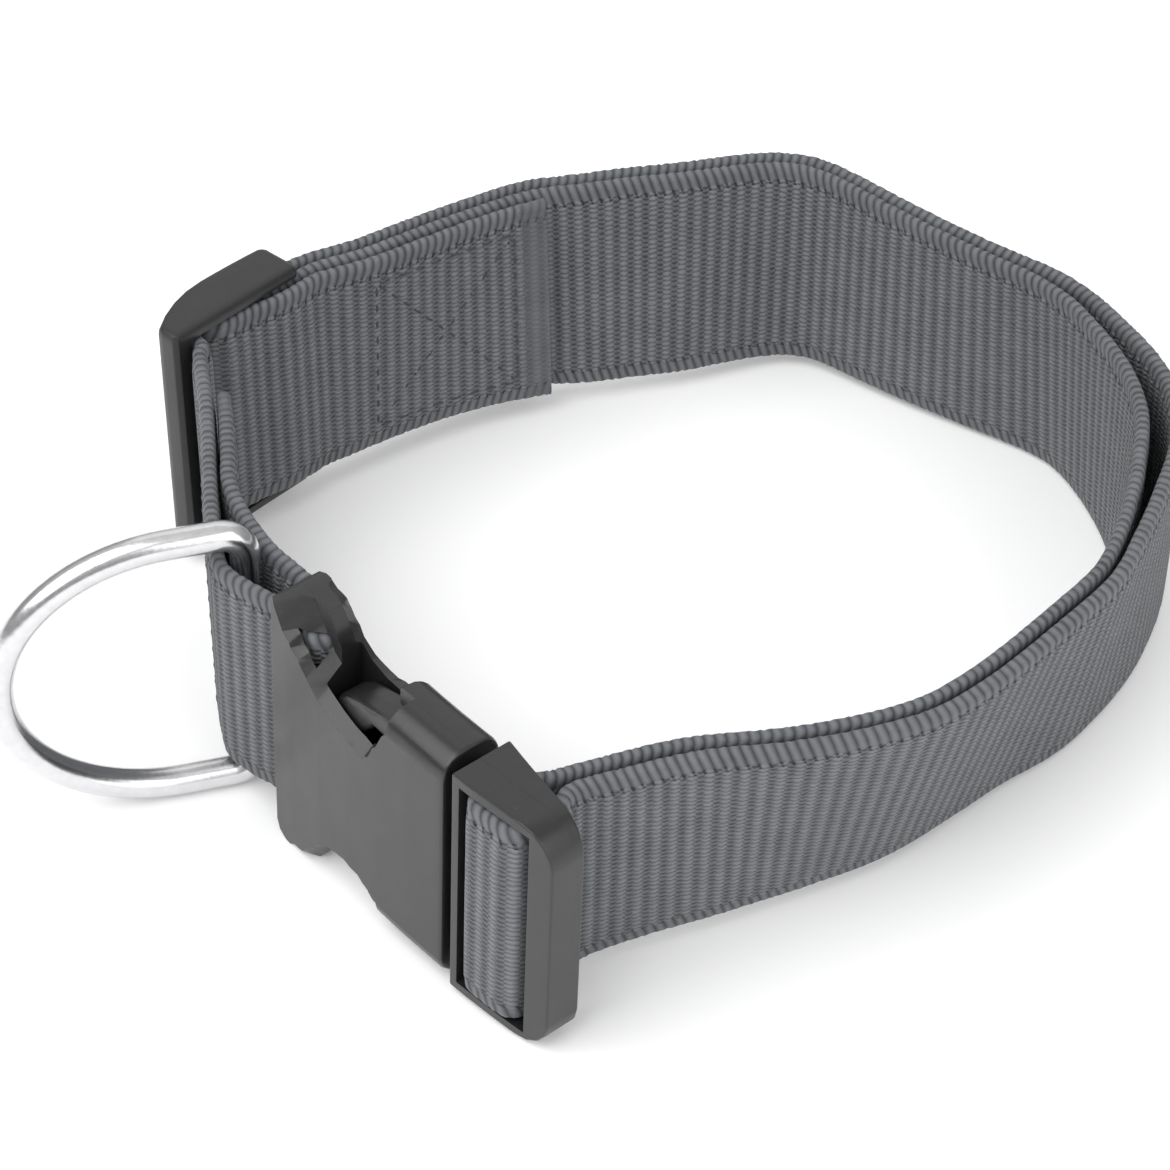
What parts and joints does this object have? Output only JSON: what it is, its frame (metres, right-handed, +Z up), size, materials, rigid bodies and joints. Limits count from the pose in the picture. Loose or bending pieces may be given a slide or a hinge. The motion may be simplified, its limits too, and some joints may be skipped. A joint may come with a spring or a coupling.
{
  "type": "dog collar",
  "caption": "Grey webbing dog collar, fastened, with a side-release buckle, a strap slider and a steel leash ring.",
  "frame": {"origin": "middle of the underside of the whole collar's box, on the surface that it stands on", "axes": "+Z up, along the collar's shortest extent and the webbing's width; X to the right, Y away from the buckle side"},
  "size_m": [0.118, 0.111, 0.0329],
  "materials": {
    "webbing": "matte",
    "plastic": "satin",
    "steel": "polished"
  },
  "bodies": {
    "collar": {"strap": "webbing", "buckle_female": "plastic", "buckle_male": "plastic", "slider": "plastic"},
    "ring": {"d_ring": "steel"}
  },
  "joints": [
    {"name": "ring_swing", "type": "hinge", "parent": "collar", "child": "ring", "pos_m": [-0.03382, -0.0168, 0.01646], "axis": [0, 0, 1], "range_deg": [-75, 70]}
  ]
}
